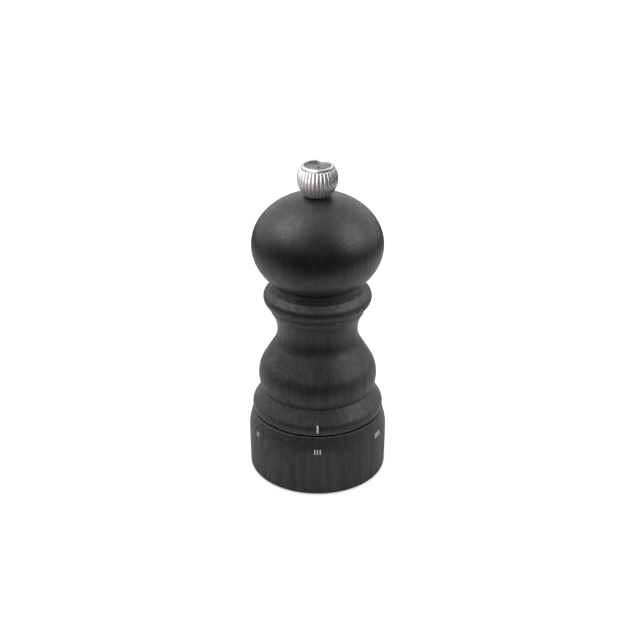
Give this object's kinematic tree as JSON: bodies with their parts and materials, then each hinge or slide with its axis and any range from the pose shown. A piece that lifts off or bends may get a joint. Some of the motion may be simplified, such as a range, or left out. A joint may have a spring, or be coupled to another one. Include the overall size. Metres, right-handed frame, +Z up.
{
  "type": "pepper mill",
  "caption": "Turned wooden pepper mill: round head turned by hand, fluted metal top knob, waisted body with collar, and a grind ring that sets the gap of the steel burrs.",
  "frame": {"origin": "centre of the mill's flat foot, on the table", "axes": "+Z up along the mill's axis, -Y towards the index mark and the viewer, +X to the viewer's right"},
  "size_m": [0.0538, 0.0538, 0.125],
  "materials": {
    "stained_wood": "satin graphite stain over fine grain",
    "knob_steel": "polished",
    "disc_metal": "dark anodised",
    "zinc_steel": "zinc plated",
    "burr_steel": "hardened, dark, machined",
    "black_plastic": "matte moulded",
    "pale_plastic": "natural acetal",
    "brass": "turned"
  },
  "bodies": {
    "mill": {"body": "stained_wood", "neck_bush": "black_plastic", "bearing_plate": "black_plastic", "bearing_plate_screws": "zinc_steel", "guide_bridge": "zinc_steel", "guide_bearing": "pale_plastic", "glide_ring": "pale_plastic", "detent_balls": "zinc_steel", "detent_springs": "zinc_steel", "ring_retainer": "zinc_steel", "retainer_screws": "zinc_steel"},
    "grind_ring": {"grind_ring": "stained_wood", "ring_insert": "black_plastic"},
    "outer_burr": {"stator_carrier": "black_plastic", "stator": "burr_steel", "stator_clip": "zinc_steel"},
    "drive": {"shaft": "zinc_steel", "rotor": "burr_steel", "rotor_nut": "zinc_steel", "rotor_spring": "zinc_steel", "spring_washer": "zinc_steel"},
    "head": {"head": "stained_wood", "drive_plate": "zinc_steel", "drive_plate_screws": "zinc_steel"},
    "knob_seat": {"knob_washer": "black_plastic"},
    "knob": {"knob": "knob_steel", "knob_insert": "brass", "knob_disc": "disc_metal"}
  },
  "joints": [
    {"name": "ring_turn", "type": "hinge", "parent": "mill", "child": "grind_ring", "pos_m": [0, 0, 0.015], "axis": [0, 0, 1], "range_deg": [-180, 120]},
    {"name": "burr_gap", "type": "slide", "parent": "mill", "child": "outer_burr", "axis": [0, 0, 1], "range_m": [-0.00125, 0.00185]},
    {"name": "head_turn", "type": "hinge", "parent": "mill", "child": "drive", "pos_m": [0, 0, 0.04], "axis": [0, 0, 1], "continuous": true},
    {"name": "head_lift", "type": "slide", "parent": "drive", "child": "head", "axis": [0, 0, 1], "range_m": [0, 0.05]},
    {"name": "knob_rise", "type": "slide", "parent": "head", "child": "knob_seat", "axis": [0, 0, 1], "range_m": [0, 0.0061]},
    {"name": "knob_turn", "type": "hinge", "parent": "knob_seat", "child": "knob", "pos_m": [0, 0, 0.118], "axis": [0, 0, 1], "range_deg": [0, 2160]}
  ],
  "couplings": [
    {"joint": "burr_gap", "follows": "ring_turn", "m_per_rad": -0.00057296},
    {"joint": "knob_rise", "follows": "knob_turn", "m_per_rad": 0.00015915}
  ]
}
